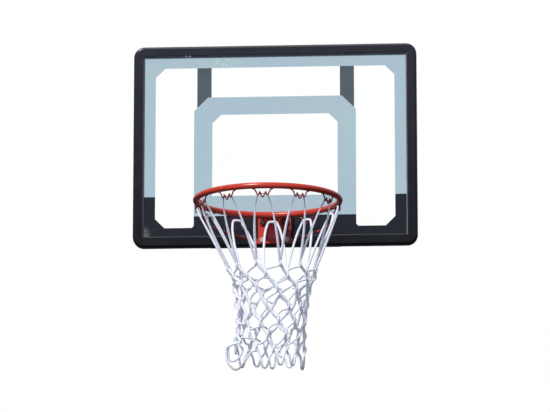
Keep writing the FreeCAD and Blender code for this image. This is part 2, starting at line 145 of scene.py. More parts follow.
def ramp_of(tree, value, low, high):
    """0 on the low side, 1 on the high side, and smooth between them; high may be the smaller one."""
    node = put(tree, "ShaderNodeMapRange", {"Value": value, "From Min": low, "From Max": high},
               interpolation_type="SMOOTHSTEP")
    return node.outputs[0]


def range_of(tree, mask, at_none, at_full):
    """A mask's 0 to 1, turned into a value between two others."""
    return put(tree, "ShaderNodeMapRange", {"Value": mask, "To Min": at_none, "To Max": at_full}).outputs[0]


def mix_colour(tree, share, first, second):
    node = put(tree, "ShaderNodeMix", {0: share, 6: first, 7: second}, data_type="RGBA")
    return node.outputs[2]


# %% Helpers for places
def place_in(tree):
    """Where a point of the surface lies in the construction's frame."""
    return put(tree, "ShaderNodeTexCoord").outputs["Object"]


def parts_of(tree, vector):
    """A vector's X, Y and Z."""
    return put(tree, "ShaderNodeSeparateXYZ", {0: vector}).outputs


# %% [markdown]
# ## Light and floor
# Open sky lights the real board, with the sun in front of it, high and a little to the left. What
# stands behind it is plain white. A world with two backgrounds does this: the camera sees white, and
# the surfaces are lit by a soft sky that is brighter above, in front and high up behind, where it lights
# the backs of the uprights. One sun lamp adds the lit sides of the cords and the glints on the ring. The
# floor is far below, at the height that puts the ring at its playing height.

# %% Sky
sky_above = (0.34, 0.37, 0.46, 1.0)
sky_level = (0.20, 0.21, 0.27, 1.0)
sky_below = (0.040, 0.040, 0.048, 1.0)
sky_in_front = (0.37, 0.38, 0.47, 1.0)
sky_behind = (0.62, 0.64, 0.74, 1.0)
plain_white = (1, 1, 1, 1)
world = bpy.data.worlds.new("haze")
bpy.context.scene.world = world
world.use_nodes = True
sky = world.node_tree
sky.nodes.clear()
direction = parts_of(sky, put(sky, "ShaderNodeTexCoord").outputs["Generated"])
frontward = ramp_of(sky, times(sky, direction["Y"], -1.0), 0.3, 1.0)
high_behind = times(sky, ramp_of(sky, direction["Y"], 0.2, 0.8), ramp_of(sky, direction["Z"], 0.05, 0.3))
light = mix_colour(sky, ramp_of(sky, direction["Z"], -0.15, 0.15), sky_below, sky_level)
light = mix_colour(sky, ramp_of(sky, direction["Z"], 0.0, 0.8), light, sky_above)
light = mix_colour(sky, frontward, light, sky_in_front)
light = mix_colour(sky, high_behind, light, sky_behind)
soft_light = put(sky, "ShaderNodeBackground", {"Color": light, "Strength": 1.0})
white_back = put(sky, "ShaderNodeBackground", {"Color": plain_white, "Strength": 1.0})
seen = put(sky, "ShaderNodeLightPath").outputs["Is Camera Ray"]
both = put(sky, "ShaderNodeMixShader", {0: seen, 1: soft_light.outputs[0], 2: white_back.outputs[0]})
put(sky, "ShaderNodeOutputWorld", {"Surface": both.outputs[0]})
print("sky nodes:", len(sky.nodes))

# %% Sun
sun_turn = math.radians(-24)
sun_rise = math.radians(40)
sun_spread = math.radians(2)
sun_strength = 4.0
sun_colour = (1.0, 0.97, 0.92)
to_sun = heading_to(sun_turn, sun_rise)
sun = bpy.data.objects.new("sun", bpy.data.lights.new("sun", "SUN"))
sun.data.energy = sun_strength
sun.data.angle = sun_spread
sun.data.color = sun_colour
sun.rotation_euler = to_sun.to_track_quat("Z", "Y").to_euler()
bpy.context.collection.objects.link(sun)
bpy.context.scene.view_settings.view_transform = "Standard"
print("sun comes from", [round(x, 2) for x in to_sun])

# %% Floor
playing_height = 3.05
floor_half = 60.0
floor_tones = ((0.80, 0.80, 0.80, 1), (0.86, 0.86, 0.86, 1))
floor_z = ring_centre.z - playing_height
corners = [(-1, -1), (1, -1), (1, 1), (-1, 1)]
floor_mesh = bpy.data.meshes.new("floor")
floor_mesh.from_pydata([(x * floor_half, y * floor_half, floor_z) for x, y in corners], [], [(0, 1, 2, 3)])
floor = bpy.data.objects.new("floor", floor_mesh)
floor_finish = bpy.data.materials.new("pale_floor")
floor_finish.use_nodes = True
tree = floor_finish.node_tree
tree.nodes.clear()
speckle = put(tree, "ShaderNodeTexNoise", {"Scale": 3.0, "Detail": 3.0}).outputs[0]
tone = mix_colour(tree, speckle, *floor_tones)
matt = put(tree, "ShaderNodeBsdfPrincipled", {"Base Color": tone, "Roughness": 0.9})
clear = put(tree, "ShaderNodeBsdfTransparent")
underside = put(tree, "ShaderNodeNewGeometry").outputs["Backfacing"]
top_only = put(tree, "ShaderNodeMixShader", {0: underside, 1: matt.outputs[0], 2: clear.outputs[0]})
put(tree, "ShaderNodeOutputMaterial", {"Surface": top_only.outputs[0]})
floor_mesh.materials.append(floor_finish)
bpy.context.collection.objects.link(floor)
floor.visible_diffuse = False
floor.visible_glossy = False
floor.visible_shadow = False
print("floor at", round(floor_z, 2))

# %% [markdown]
# ## Effects that several finishes share
# Weather and use leave the same marks on plastic, paint and steel: dull patches, rubbed edges and fine
# scratches, and moulded and sprayed surfaces share a fine skin. Each is a node group with its own
# inputs, built once and placed in every finish that needs it. A group only gives masks and heights. The
# shader itself stays in each material.


# %% Start a node group
def new_group(name, inputs, output):
    """An empty group with float inputs and one float output, and the sockets of both."""
    group = bpy.data.node_groups.new(name, "ShaderNodeTree")
    for label, value in inputs.items():
        socket = group.interface.new_socket(label, in_out="INPUT", socket_type="NodeSocketFloat")
        socket.default_value = value
    group.interface.new_socket(output, in_out="OUTPUT", socket_type="NodeSocketFloat")
    print("effect:", name)
    return group, group.nodes.new("NodeGroupInput").outputs, group.nodes.new("NodeGroupOutput").inputs


# %% Weather patches
weather, given, result = new_group("weather_patches", {"Size": 12.0, "Cover": 0.5}, "Mask")
broad = put(weather, "ShaderNodeTexNoise", {"Vector": place_in(weather), "Scale": given["Size"],
                                            "Detail": 6.0, "Roughness": 0.62, "Distortion": 0.4}).outputs[0]
patch = times(weather, ramp_of(weather, broad, 0.42, 0.72), given["Cover"], True)
weather.links.new(patch, result[0])

# %% Rubbed edges
rubbed, given, result = new_group("rubbed_edges", {"Reach": 0.0015, "Amount": 1.0}, "Mask")
softened = put(rubbed, "ShaderNodeBevel", {"Radius": given["Reach"]}, samples=4).outputs[0]
flat = put(rubbed, "ShaderNodeNewGeometry").outputs["Normal"]
agree = put(rubbed, "ShaderNodeVectorMath", {0: softened, 1: flat}, operation="DOT_PRODUCT").outputs["Value"]
edge = ramp_of(rubbed, math_of(rubbed, "SUBTRACT", 1.0, agree), 0.02, 0.22)
patchy = put(rubbed, "ShaderNodeTexNoise", {"Vector": place_in(rubbed), "Scale": 90.0, "Detail": 4.0})
broken = times(rubbed, edge, ramp_of(rubbed, patchy.outputs[0], 0.42, 0.62))
rubbed.links.new(times(rubbed, broken, given["Amount"], True), result[0])

# %% Skin of moulded and sprayed surfaces
skin, given, result = new_group("skin_texture", {"Grain": 900.0}, "Height")
place = place_in(skin)
pebble = put(skin, "ShaderNodeTexVoronoi", {"Vector": place, "Scale": given["Grain"]}, feature="SMOOTH_F1")
drift = put(skin, "ShaderNodeTexNoise", {"Vector": place, "Scale": given["Grain"], "Detail": 2.0})
height = math_of(skin, "ADD", times(skin, pebble.outputs[0], 0.6), times(skin, drift.outputs[0], 0.4))
skin.links.new(height, result[0])

# %% Fine scratches
scratch_tilts = (0.35, -0.6, 1.2)
scratches, given, result = new_group("fine_scratches", {"Spacing": 60.0, "Depth": 0.5}, "Mask")
place = place_in(scratches)
marks = 0.0
for tilt in scratch_tilts:
    turned = put(scratches, "ShaderNodeMapping", {"Vector": place, "Rotation": (0.2, tilt, 0.4),
                                                  "Scale": (1, 1, 14)}).outputs[0]
    noise = put(scratches, "ShaderNodeTexNoise", {"Vector": turned, "Scale": given["Spacing"],
                                                  "Detail": 1.0}).outputs[0]
    marks = math_of(scratches, "MAXIMUM", ramp_of(scratches, noise, 0.66, 0.70), marks)
scratches.links.new(times(scratches, marks, given["Depth"], True), result[0])


# %% Start a finish
def new_finish(name):
    """A material with only a Principled shader; returns the material, its tree and the shader."""
    finish = bpy.data.materials.new(name)
    finish.use_nodes = True
    finish.node_tree.nodes.clear()
    shader = put(finish.node_tree, "ShaderNodeBsdfPrincipled")
    put(finish.node_tree, "ShaderNodeOutputMaterial", {"Surface": shader.outputs[0]})
    return finish, finish.node_tree, shader


def effect(tree, group, **inputs):
    """Place a shared effect in a finish, with its own values."""
    return put(tree, "ShaderNodeGroup", inputs, node_tree=group).outputs[0]


def bump_of(tree, height, distance, strength=1.0):
    bump = put(tree, "ShaderNodeBump", {"Height": height, "Distance": distance, "Strength": strength})
    return bump.outputs[0]


# %% Complete a finish
def feed(tree, shader, **sockets):
    """Set or link the shader's inputs; underscores stand for spaces."""
    for name, value in sockets.items():
        socket = shader.inputs[name.replace("_", " ")]
        if isinstance(value, bpy.types.NodeSocket):
            tree.links.new(value, socket)
        else:
            socket.default_value = value


def wear(finish, *names):
    """Dress construction pieces in a finish."""
    for name in names:
        piece = nodes[name]
        piece.data.materials.clear()
        piece.data.materials.append(finish)
    print(finish.name, "on", ", ".join(names))


# %% [markdown]
# ## The moulded frame
# Two black plastic shells, moulded with a fine pebbled skin and clamped round the panel. Plastic this
# dark shows mostly what it mirrors, so the colour is nearly black and the gloss carries the look. Its
# colour is painted lighter towards the top and darker below, as painted light and shade, and its top
# edge lightest, as a painted highlight. The lip slopes inward round the window, and its inner edge is
# painted grey, partly wear and partly a painted highlight, most of all at the sides and the top, where
# it also lifts the shade of the slope that faces down. The slope's own direction picks it out, because
# it faces neither the front nor a side. Two nicks in the lip show pale.

# %% Sizes of the frame's wear
frame_low, frame_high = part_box("front_frame")
lip_width = 0.031
worn_edge = 0.0025
top_edge_start = 0.0075
top_edge_full = 0.0050
nick_places = (-0.2555, -0.2445)
nick_reach = 0.0042
nick_core = 0.0025
print("the lip ends", round(frame_high.x - lip_width, 4), "from the middle")


# %% Find the lip's edge, worn and painted lighter
def lip_wear_and_highlight(tree):
    """A mask of the lip's sloping inner edge, strongest at the sides and the top: partly wear, partly
    painted highlight.
    """
    place = place_in(tree)
    spread = parts_of(tree, place)
    facing = parts_of(tree, put(tree, "ShaderNodeNewGeometry").outputs["Normal"])
    forward = math_of(tree, "ABSOLUTE", facing["Y"])
    slope = times(tree, ramp_of(tree, forward, 0.35, 0.45), ramp_of(tree, forward, 0.85, 0.75))
    for axis, limit in (("X", frame_high.x), ("Z", frame_high.z)):
        from_middle = math_of(tree, "ABSOLUTE", spread[axis])
        inner_edge = limit - lip_width
        inside = ramp_of(tree, from_middle, inner_edge + worn_edge * 1.5, inner_edge + worn_edge)
        slope = times(tree, slope, inside)
    # Painted highlight: a slope that faces a side or downward gets more of the lighter colour.
    sideward = ramp_of(tree, math_of(tree, "ABSOLUTE", facing["X"]), 0.2, 0.6)
    downward = ramp_of(tree, facing["Z"], -0.2, -0.6)
    most = math_of(tree, "MAXIMUM", sideward, downward)
    worn = times(tree, slope, range_of(tree, most, 0.35, 1.0))
    uneven = put(tree, "ShaderNodeTexNoise", {"Vector": place, "Scale": 14.0, "Detail": 3.0}).outputs[0]
    return times(tree, worn, range_of(tree, uneven, 0.3, 1.5), True)


# %% Measure from a spot
def offset_from(tree, spot):
    """Where a point of the surface lies, seen from a spot."""
    return put(tree, "ShaderNodeVectorMath", {0: place_in(tree), 1: spot}, operation="SUBTRACT").outputs[0]


def stretched(tree, offset, scale):
    return put(tree, "ShaderNodeMapping", {"Vector": offset, "Scale": scale}).outputs[0]


def length_of(tree, offset):
    return put(tree, "ShaderNodeVectorMath", {0: offset}, operation="LENGTH").outputs["Value"]


# %% Moulded black plastic
shaded_black = (0.0062, 0.0070, 0.0090, 1)
painted_lit_black = (0.0172, 0.0200, 0.0262, 1)
dull_black = (0.0230, 0.0250, 0.0300, 1)
rubbed_grey = (0.055, 0.056, 0.060, 1)
painted_highlight_grey = (0.072, 0.074, 0.077, 1)
lip_wear_and_highlight_grey = (0.150, 0.156, 0.175, 1)
nick_white = (0.78, 0.80, 0.80, 1)
moulded_black, tree, shader = new_finish("moulded_black")
dull = effect(tree, weather, Size=9.0, Cover=0.8)
rub = effect(tree, rubbed, Reach=0.0030, Amount=0.7)
height = parts_of(tree, place_in(tree))["Z"]
# Painted light and shade: the black is lighter towards the top and darker towards the bottom.
painted_top_light = ramp_of(tree, height, frame_low.z, frame_high.z)
# Painted highlight: the top edge is lighter, where the rounded edge would catch the sky.
painted_top_highlight = ramp_of(tree, height, frame_high.z - top_edge_start, frame_high.z - top_edge_full)
black = mix_colour(tree, painted_top_light, shaded_black, painted_lit_black)
black = mix_colour(tree, times(tree, dull, 0.3), black, dull_black)
black = mix_colour(tree, rub, black, rubbed_grey)
black = mix_colour(tree, painted_top_highlight, black, painted_highlight_grey)
# The lip's inner edge: partly wear, partly painted highlight.
black = mix_colour(tree, lip_wear_and_highlight(tree), black, lip_wear_and_highlight_grey)
for nick_x in nick_places:
    from_nick = offset_from(tree, Vector((nick_x, 0, frame_high.z - lip_width)))
    away = length_of(tree, stretched(tree, from_nick, (0.9, 0, 1)))
    black = mix_colour(tree, ramp_of(tree, away, nick_reach, nick_core), black, nick_white)
rough = math_of(tree, "ADD", range_of(tree, dull, 0.20, 0.27), times(tree, rub, 0.4))
feed(tree, shader, Base_Color=black, Roughness=rough, Specular_IOR_Level=0.25,
     Normal=bump_of(tree, effect(tree, skin, Grain=750.0), 0.00012, 0.2))
wear(moulded_black, "front_frame", "rear_frame")

# %% Caps and spacer
cap_black, tree, shader = new_finish("cap_black")
dull = effect(tree, weather, Size=25.0, Cover=0.7)
black = mix_colour(tree, dull, (0.005, 0.005, 0.006, 1), (0.010, 0.010, 0.011, 1))
feed(tree, shader, Base_Color=black, Roughness=range_of(tree, dull, 0.45, 0.62), Specular_IOR_Level=0.1,
     Normal=bump_of(tree, effect(tree, skin, Grain=1100.0), 0.0001, 0.3))
wear(cap_black, "upright_caps", "rim_spacer")

# %% [markdown]
# ## The clear panel
# A clear plastic sheet shows itself by a faint haze, by fine scratches from the ball, and by mirroring
# more as it is seen more edge on. Bending glass would also bend what lies right behind it and shut out
# the sun, so the sheet is a thin haze instead: an alpha that is low face on and grows with the Fresnel
# effect.

# %% Clear sheet
face_on_veil = 0.012
haze_veil = 0.012
scuff_veil = 0.02
edge_on_veil = 0.55
clear_sheet, tree, shader = new_finish("clear_sheet")
haze = effect(tree, weather, Size=5.0, Cover=0.35)
scuffs = effect(tree, scratches, Spacing=26.0, Depth=0.5)
edge_on = put(tree, "ShaderNodeFresnel", {"IOR": 1.25}).outputs[0]
veil = math_of(tree, "ADD", times(tree, haze, haze_veil), times(tree, scuffs, scuff_veil))
veil = math_of(tree, "ADD", veil, face_on_veil)
veil = math_of(tree, "ADD", veil, times(tree, edge_on, edge_on_veil), True)
feed(tree, shader, Base_Color=mix_colour(tree, haze, (0.74, 0.84, 0.88, 1), (0.84, 0.90, 0.93, 1)),
     Roughness=range_of(tree, scuffs, 0.06, 0.3), Alpha=veil)
wear(clear_sheet, "clear_panel")

# %% [markdown]
# ## Printed films
# The border and the target square are pale blue-grey ink, and the lower part is black ink, printed on
# the panel's face. Ink on a clear sheet is glossy and slightly uneven, and the ball leaves dull scuffs
# on it. In the lower left corner something scraped it white along the lip, and near the top left a few
# specks have chipped off. Both marks are masks by distance from a place: the scrape is taller than wide
# and broken up by stretched noise, and the specks are the middles of scattered cells. The pale ink lets
# light through, so it throws no hard shadow on the steel behind it.

# %% Places of the scrape and the specks
film_depth = 0.009
scraped_corner = frame_low + Vector((lip_width, film_depth, lip_width))
scrape_reach = 0.020
scrape_core = 0.004
speck_x = -0.145
speck_inset = 0.049
speck_place = Vector((speck_x, scraped_corner.y, frame_high.z - speck_inset))
speck_reach = 0.016
speck_core = 0.010
print("scrape at", [round(x, 3) for x in scraped_corner], "specks at", [round(x, 3) for x in speck_place])


# %% Masks of the scrape and the specks
def scraped(tree):
    squeezed = stretched(tree, offset_from(tree, scraped_corner), (0.8, 0, 0.5))
    streaks = put(tree, "ShaderNodeTexNoise", {"Vector": squeezed, "Scale": 260.0, "Detail": 4.0}).outputs[0]
    near = ramp_of(tree, length_of(tree, squeezed), scrape_reach, scrape_core)
    return times(tree, near, range_of(tree, ramp_of(tree, streaks, 0.35, 0.65), 0.45, 1.0))


def chipped(tree):
    offset = offset_from(tree, speck_place)
    near = ramp_of(tree, length_of(tree, stretched(tree, offset, (0.4, 0, 1))), speck_reach, speck_core)
    cells = put(tree, "ShaderNodeTexVoronoi", {"Vector": offset, "Scale": 85.0}).outputs[0]
    return times(tree, near, ramp_of(tree, cells, 0.22, 0.10))


# %% Pale and black ink
scrape_grey = (0.125, 0.138, 0.142, 1)
speck_white = (0.72, 0.75, 0.77, 1)


def printed_ink(name, thin, thick, smooth, gloss):
    finish, tree, shader = new_finish(name)
    cloud = effect(tree, weather, Size=6.0, Cover=0.9)
    scuffs = effect(tree, scratches, Spacing=30.0, Depth=0.6)
    ink = mix_colour(tree, cloud, thin, thick)
    ink = mix_colour(tree, scraped(tree), ink, scrape_grey)
    ink = mix_colour(tree, chipped(tree), ink, speck_white)
    feed(tree, shader, Base_Color=ink, Specular_IOR_Level=gloss,
         Roughness=range_of(tree, scuffs, smooth, smooth + 0.2),
         Normal=bump_of(tree, scuffs, 0.00003, 0.2))
    return finish


pale_ink = printed_ink("pale_ink", (0.350, 0.464, 0.532, 1), (0.358, 0.494, 0.520, 1), 0.17, 0.4)
black_ink = printed_ink("black_ink", (0.0115, 0.0135, 0.0195, 1), (0.0140, 0.0160, 0.0225, 1), 0.17, 0.3)
wear(pale_ink, "border_film", "target_film")
nodes["border_film"].visible_shadow = False
nodes["target_film"].visible_shadow = False
wear(black_ink, "base_film")

# %% Seal
seal_rubber, tree, shader = new_finish("seal_rubber")
bloom = effect(tree, weather, Size=30.0, Cover=0.6)
feed(tree, shader, Base_Color=mix_colour(tree, bloom, (0.012, 0.012, 0.013, 1), (0.035, 0.035, 0.037, 1)),
     Roughness=0.7, Normal=bump_of(tree, effect(tree, skin, Grain=1500.0), 0.0001, 0.4))
wear(seal_rubber, "panel_gasket")

# %% [markdown]
# ## Steel behind the board
# The uprights and the channel between them are powder coated, which leaves a faint orange-peel skin and
# chips to bare grey at the edges. The fasteners are zinc plated and never evenly polished. A height ramp
# darkens the plating in a band just under the ring, where the upper bolts sit.

# %% Powder coat
chipped_grey = (0.22, 0.22, 0.22, 1)
powder_coat, tree, shader = new_finish("powder_coat")
dull = effect(tree, weather, Size=14.0, Cover=0.7)
chip = effect(tree, rubbed, Reach=0.001, Amount=0.5)
grey = mix_colour(tree, dull, (0.046, 0.067, 0.087, 1), (0.056, 0.077, 0.097, 1))
grey = mix_colour(tree, chip, grey, chipped_grey)
feed(tree, shader, Base_Color=grey, Roughness=range_of(tree, dull, 0.24, 0.34), Specular_IOR_Level=0.3,
     Normal=bump_of(tree, effect(tree, skin, Grain=420.0), 0.00015, 0.3))
wear(powder_coat, "left_upright", "right_upright", "cross_channel")


# %% Masks by height
def level_ramp(tree, height, none_level, full_level):
    """0 at one level and 1 at another, both measured upward from the ring's centre."""
    return ramp_of(tree, height, ring_centre.z + none_level, ring_centre.z + full_level)


# %% Zinc plate
dark_band_bottom = (-0.024, -0.012)
dark_band_top = (0.03, 0.02)
dark_band_zinc = (0.030, 0.027, 0.018, 1)
zinc_plate, tree, shader = new_finish("zinc_plate")
stain = effect(tree, weather, Size=60.0, Cover=1.0)
worn = effect(tree, scratches, Spacing=220.0, Depth=0.7)
height = parts_of(tree, place_in(tree))["Z"]
# Darker plating in a band just under the ring, on the upper bolts.
in_dark_band = times(tree, level_ramp(tree, height, *dark_band_bottom), level_ramp(tree, height, *dark_band_top))
zinc = mix_colour(tree, stain, (0.46, 0.45, 0.42, 1), (0.30, 0.29, 0.26, 1))
zinc = mix_colour(tree, in_dark_band, zinc, dark_band_zinc)
feed(tree, shader, Base_Color=zinc, Metallic=0.4, Roughness=range_of(tree, stain, 0.32, 0.52),
     Normal=bump_of(tree, worn, 0.00004, 0.4))
wear(zinc_plate, "frame_screws", "upright_screws", "mount_nuts", "rim_bolts", "rim_front_washers",
     "rim_rear_washers", "rim_nuts", "bolt_sleeves")

# %% [markdown]
# ## Red enamel
# The ring, its bracket and the braces are sprayed with a thick red-orange enamel. Under the gloss it is
# a little uneven, darker where dirt sits, and chipped to primer on sharp edges. The hooks get a darker
# red. One function makes both. Between the gussets, under the neck plate, a light red is painted in as
# painted fill light, to lift the shade there. The plate's right side is painted dark red as a painted
# shadow, the shade of the right gusset.

# %% Places on the bracket
gusset_low, gusset_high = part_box("right_gusset")
neck_low, neck_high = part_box("rim_top_plate")
depth_blend = 0.02
neck_blend = 0.001
side_blend = 0.003
fill_bottom = (-0.056, -0.044)
print("neck plate between", round(neck_low.z, 4), "and", round(neck_high.z, 4))


# %% Masks on the bracket
def painted_fill_and_shadow(tree):
    """Two masks of the bracket: painted fill light between the gussets under the neck plate, and painted
    shadow right of the gussets.
    """
    spread = parts_of(tree, place_in(tree))
    behind = ramp_of(tree, spread["Y"], gusset_low.y, gusset_low.y + depth_blend)
    between = ramp_of(tree, math_of(tree, "ABSOLUTE", spread["X"]), gusset_high.x, gusset_low.x)
    under = ramp_of(tree, spread["Z"], neck_low.z + neck_blend, neck_low.z)
    high = level_ramp(tree, spread["Z"], *fill_bottom)
    beside = ramp_of(tree, spread["X"], gusset_high.x, gusset_high.x + side_blend)
    # Painted fill light: a lighter red between the gussets, under the neck plate, where the shade falls.
    painted_fill = times(tree, times(tree, between, behind), times(tree, under, high))
    # Painted shadow: a dark red on the plate's right side, where the right gusset's shade falls.
    return painted_fill, times(tree, beside, behind)


# %% Red enamel
painted_fill_red = (0.90, 0.11, 0.15, 1)
painted_shadow_red = (0.25, 0.034, 0.032, 1)


def enamel(name, fresh, faded, primer):
    finish, tree, shader = new_finish(name)
    fade = effect(tree, weather, Size=18.0, Cover=0.9)
    chip = effect(tree, rubbed, Reach=0.0008, Amount=0.4)
    painted_fill, painted_shadow = painted_fill_and_shadow(tree)
    red = mix_colour(tree, fade, fresh, faded)
    # Painted fill light in the bracket's shaded recess.
    red = mix_colour(tree, painted_fill, red, painted_fill_red)
    # Painted shadow on the plate's right side.
    red = mix_colour(tree, painted_shadow, red, painted_shadow_red)
    red = mix_colour(tree, chip, red, primer)
    feed(tree, shader, Base_Color=red, Specular_IOR_Level=0.4,
         Roughness=range_of(tree, fade, 0.24, 0.36),
         Normal=bump_of(tree, effect(tree, skin, Grain=330.0), 0.0002, 0.22))
    return finish


red_enamel = enamel("red_enamel", (0.48, 0.040, 0.022, 1), (0.43, 0.036, 0.022, 1), (0.18, 0.05, 0.04, 1))
# A darker red for the hooks.
dark_hook_red = enamel("dark_hook_red", (0.17, 0.016, 0.013, 1), (0.13, 0.014, 0.012, 1), (0.06, 0.03, 0.025, 1))
wear(red_enamel, "rim_ring", "rim_back_plate", "rim_top_plate", "left_gusset", "right_gusset")

# %% [markdown]
# ## Bars, wires and cords
# Hooks, braces, weld beads and the net are all something round that follows a line. Blender's curves
# can do this, but a net of hundreds of strands is easier to handle as one mesh, so a small class sweeps
# a circle along a list of points and collects all the results. Corners are rounded by cutting them
# again and again, which gives the soft bends of wire and cord.

# %% Round off a line of points
cut_shares = (0.25, 0.75)


def rounded(points, passes=3):
    """Cut the corners of an open line, keeping its two ends."""
    for _ in range(passes):
        cut = [points[0]]
        for here, there in zip(points, points[1:]):
            cut += [here.lerp(there, share) for share in cut_shares]
        points = cut + [points[-1]]
    return points


def short_bends(points, reach):
    """Keep a line straight up to a reach from each corner, so that rounding it bends only there."""
    line = [points[0]]
    for before, corner, after in zip(points, points[1:], points[2:]):
        line += [corner + (side - corner).normalized() * reach for side in (before, after)]
    return line + [points[-1]]


# %% Sweep round sections along lines
class Sweeps:
    """Collects swept bars or cords and turns them into one mesh object."""

    def __init__(self):
        self.points = []
        self.faces = []
        self.face_maps = []

    def add(self, path, radius, sides=10):
        """Sweep along a path. The radius is a number, or a function of the share of the way along."""
        size = radius if callable(radius) else (lambda share: radius)
        last = len(path) - 1
        first_point = len(self.points)
        side_way = None
        marks = [0.0]
        for step, spot in enumerate(path):
            ahead = (path[min(step + 1, last)] - path[max(step - 1, 0)]).normalized()
            side_way = side_way or ahead.orthogonal()
            side_way = (side_way - ahead * side_way.dot(ahead)).normalized()
            other_way = ahead.cross(side_way)
            if step:
                marks.append(marks[-1] + (spot - path[step - 1]).length)
            half = size(step / last)
            for side in range(sides):
                turn = 2 * math.pi * side / sides
                outward = side_way * math.cos(turn) + other_way * math.sin(turn)
                self.points.append(spot + outward * half)
        self.skin(first_point, sides, marks)

    def skin(self, first_point, sides, marks):
        """Faces between the rings, with a map of turn and length, and a cap on each end."""
        for step, (low, high) in enumerate(zip(marks, marks[1:])):
            here = first_point + step * sides
            there = here + sides
            for side in range(sides):
                after = (side + 1) % sides
                self.faces.append((here + side, here + after, there + after, there + side))
                left = side / sides
                right = (side + 1) / sides
                self.face_maps.append(((left, low), (right, low), (right, high), (left, high)))
        last_point = first_point + (len(marks) - 1) * sides
        self.faces.append(tuple(first_point + side for side in reversed(range(sides))))
        self.faces.append(tuple(last_point + side for side in range(sides)))
        self.face_maps += [((0.0, marks[0]),) * sides, ((0.0, marks[-1]),) * sides]

    def make(self, name, finish):
        mesh = bpy.data.meshes.new(name)
        mesh.from_pydata(self.points, [], self.faces)
        layer = mesh.uv_layers.new(name="cord_map")
        layer.data.foreach_set("uv", [x for corners in self.face_maps for corner in corners for x in corner])
        mesh.polygons.foreach_set("use_smooth", [True] * len(mesh.polygons))
        mesh.materials.append(finish)
        piece = bpy.data.objects.new(name, mesh)
        bpy.context.collection.objects.link(piece)
        print(name, "has", len(mesh.polygons), "faces")
        return piece


# %% [markdown]
# ## Brace rods
# Two rods run from the bracket's lower ears round to the sides of the ring. On the real one each is a
# single rod, bent cold at two places, so the bends are short arcs and the rest is straight. The
# construction has the same line as a slightly thicker rod, with balls at the corners. A bend is given by
# its turn round the ring, its share of the ring's radius and its level.

# %% Bend the braces
brace_rod = 0.0025
brace_sides = 14
bend_reach = 0.014
ear_across = 0.051
ear_in_front = 0.002
ear_drop = 0.061
brace_ear = Vector((ear_across, board_face_y - ear_in_front, ring_centre.z - ear_drop))
brace_bends = ((140, 1.115, -0.0506), (118, 1.04, -0.0439), (104, 1.0, -0.0037))
brace_line = [brace_ear] + [round_ring(turn, ring_radius * out, level) for turn, out, level in brace_bends]
for node, side in (("left_brace", -1), ("right_brace", 1)):
    rod = Sweeps()
    corners = [Vector((spot.x * side, spot.y, spot.z)) for spot in brace_line]
    rod.add(rounded(short_bends(corners, bend_reach)), brace_rod, brace_sides)
    brace = rod.make("bent_" + node, red_enamel)
    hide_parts(node)
    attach(brace, "backboard")

# %% [markdown]
# ## Wire hooks
# Each hook is one piece of wire bent into a W and welded under the ring, so that the net's loop lies in
# its two outer notches, behind the middle point. Its ends run out along the ring, where the weld
# thickens them. The construction has straight bars with balls at the bends. Here the wire is rounded,
# which draws its bends in, so the points below stand a little beyond them.

# %% Shape of a hook
hook_count = 12
hook_wire = 0.0020
weld_swell = 0.6
weld_share = 0.08
hook_line = ((-0.031, -0.0058), (-0.0255, -0.0086), (-0.0195, -0.0130), (-0.0150, -0.0264),
             (-0.0098, -0.0264), (-0.0090, -0.0132), (0.0, -0.0376))
hook_line += tuple((-across, level) for across, level in reversed(hook_line[:-1]))


def welded_wire(share):
    """The wire's radius: the weld swells it near both ends."""
    from_end = min(share, 1 - share)
    return hook_wire * (1 + weld_swell * max(0.0, 1 - abs(from_end - weld_share) / weld_share))


# %% Bend the hooks
hooks = Sweeps()
for step in range(hook_count):
    heading = 360 * step / hook_count
    sideways = round_ring(heading + 90, 1.0) - ring_centre
    bends = [round_ring(heading, ring_radius, level) + sideways * across for across, level in hook_line]
    hooks.add(rounded(bends), welded_wire)
wire_hooks = hooks.make("wire_hooks", dark_hook_red)
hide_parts("net_hooks")
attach(wire_hooks, "backboard")

# %% [markdown]
# ## Weld beads
# The neck plate, the gussets and the ring are joined by weld beads, painted over with the rest. A bead
# is a thin sweep along the corner, whose radius ripples as the welder moved in small steps.

# %% Shape of a bead
bead_radius = 0.0019
bead_sides = 8
bead_step = 0.0006
fewest_steps = 8
ripple_length = 0.0028
ripple_share = 0.13
beads = Sweeps()


def bead(start, end):
    """A straight bead with small ripples."""
    length = (end - start).length
    steps = max(fewest_steps, int(length / bead_step))
    ripples = length / ripple_length
    path = [start.lerp(end, step / steps) for step in range(steps + 1)]
    swell = 2 * math.pi * ripples
    beads.add(path, lambda share: bead_radius * (1 + ripple_share * math.sin(swell * share)), bead_sides)


# %% Lay the beads
plate_face_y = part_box("rim_back_plate")[0].y
half_stops = 6
ring_turn = math.degrees(math.asin(neck_high.x / ring_radius))
for level in (neck_low.z - ring_centre.z, neck_high.z - ring_centre.z):
    reach = ring_radius + math.sqrt(tube_radius ** 2 - level ** 2)
    stops = [round_ring(180 + ring_turn * stop / half_stops, reach, level)
             for stop in range(-half_stops, half_stops + 1)]
    for start, end in zip(stops, stops[1:]):
        bead(start, end)
for node in ("left_gusset", "right_gusset"):
    low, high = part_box(node)
    for x in (low.x, high.x):
        bead(Vector((x, plate_face_y, low.z)), Vector((x, plate_face_y, high.z)))
        bead(Vector((x, plate_face_y, high.z)), Vector((x, low.y, high.z)))
weld_beads = beads.make("weld_beads", red_enamel)
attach(weld_beads, "backboard")

# %% [markdown]
# ## The net
# White cord, knotted into twelve loops at the top, seven rows of knots below and twelve free loops at
# the bottom. In each knot one cord runs straight through, towards the lower right, and the other twists
# half round it, and droops on its way down in front, where the ball strikes. The net hangs a little to
# one side, lower in front, turned at the back and hitched up at the left, and no two meshes are alike.
# A cloth simulation could drape it, but placing the knots keeps the real shape and takes no time. Each
# table below has one value for each row, from the top.

